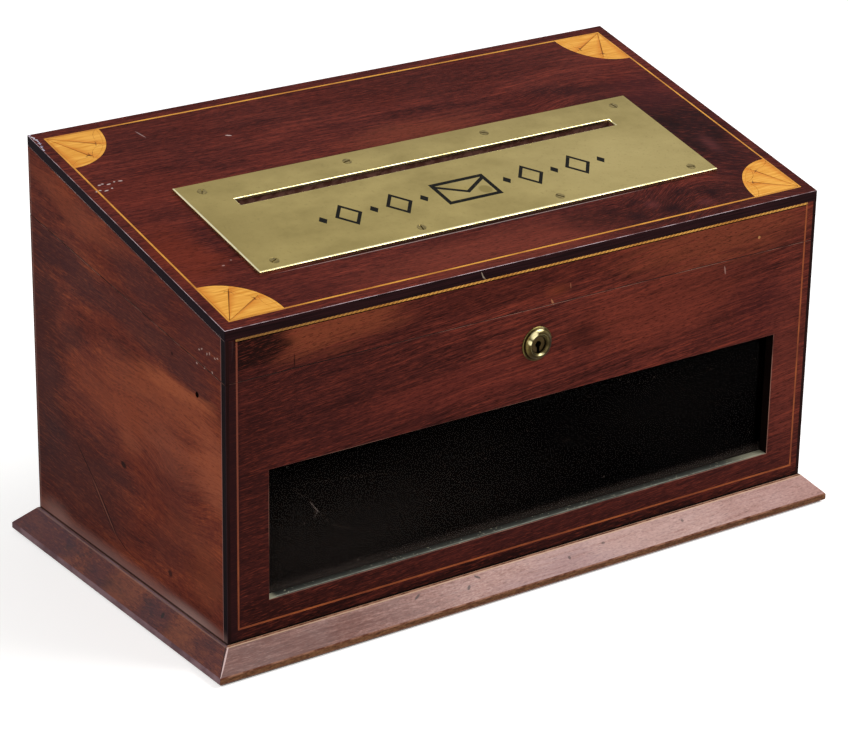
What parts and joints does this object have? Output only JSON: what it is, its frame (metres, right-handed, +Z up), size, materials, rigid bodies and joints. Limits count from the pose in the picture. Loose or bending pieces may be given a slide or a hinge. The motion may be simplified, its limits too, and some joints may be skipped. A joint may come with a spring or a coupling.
{
  "type": "desk letter box",
  "caption": "Sloping-lid wooden desk box with a brass posting-slot plate on its hinged lid, a long glazed window in front, a keyed lock and a splayed plinth.",
  "frame": {"origin": "centre of the footprint on the table, under the middle of the bounding box", "axes": "+Z up; the glazed front faces -Y and the lid hinges at the back; +X to the right as seen from the front"},
  "size_m": [0.382, 0.207, 0.2185],
  "materials": {
    "mahogany_front": "french-polished figured mahogany veneer",
    "mahogany_side": "french-polished mahogany, warmer and plainer",
    "mahogany_top": "french-polished figured mahogany veneer",
    "mahogany_ground": "unpolished ground wood",
    "mahogany_plinth": "polished mahogany moulding",
    "ebonised_wood": "ebonised and polished",
    "satinwood": "polished satinwood inlay",
    "boxwood": "polished boxwood line",
    "brass": "aged polished brass",
    "black_wax": "hard black engraver's wax",
    "window_glass": "old clear sheet glass",
    "green_baize": "worn green baize",
    "spring_steel": "blued spring steel",
    "screw_steel": "dull steel"
  },
  "bodies": {
    "case": {"back_board": "mahogany_side", "base_baize": "green_baize", "base_board": "mahogany_ground", "base_screws": "screw_steel", "body_corner_strips": "ebonised_wood", "body_stringing": "boxwood", "front_board": "mahogany_front", "glazing_bead_bottom": "mahogany_plinth", "glazing_bead_left": "mahogany_plinth", "glazing_bead_right": "mahogany_plinth", "glazing_bead_top": "mahogany_plinth", "hinge_body_leaf_left": "brass", "hinge_body_leaf_right": "brass", "hinge_body_screws": "brass", "hinge_pins": "brass", "key_bezel": "brass", "key_pin": "brass", "left_board": "mahogany_side", "lock_cap": "brass", "lock_plate": "brass", "lock_screws": "brass", "plinth_back": "mahogany_plinth", "plinth_front": "mahogany_plinth", "plinth_left": "mahogany_plinth", "plinth_right": "mahogany_plinth", "right_board": "mahogany_side", "window_glass": "window_glass"},
    "lid": {"fan_back_left": "satinwood", "fan_back_right": "satinwood", "fan_front_left": "satinwood", "fan_front_right": "satinwood", "hinge_lid_leaf_left": "brass", "hinge_lid_leaf_right": "brass", "hinge_lid_screws": "brass", "letter_plate": "brass", "lid_back_rim": "mahogany_side", "lid_corner_strips": "ebonised_wood", "lid_edging_back": "ebonised_wood", "lid_edging_front": "ebonised_wood", "lid_edging_left": "ebonised_wood", "lid_edging_right": "ebonised_wood", "lid_front_rim": "mahogany_front", "lid_left_rim": "mahogany_side", "lid_panel": "mahogany_ground", "lid_right_rim": "mahogany_side", "lid_stringing": "boxwood", "link_plate": "brass", "link_screws": "brass", "plate_ornament": "black_wax", "plate_screws": "brass", "rope_stringing": "boxwood", "top_stringing": "boxwood", "top_veneer": "mahogany_top"},
    "bolt": {"lock_bolt": "brass", "bolt_spring": "spring_steel"}
  },
  "joints": [
    {"name": "lid_hinge", "type": "hinge", "parent": "case", "child": "lid", "pos_m": [0, 0.0951, 0.17739], "axis": [-1, 0, 0], "range_deg": [0, 95]},
    {"name": "bolt_slide", "type": "slide", "parent": "case", "child": "bolt", "axis": [1, 0, 0], "range_m": [0, 0.005]}
  ]
}
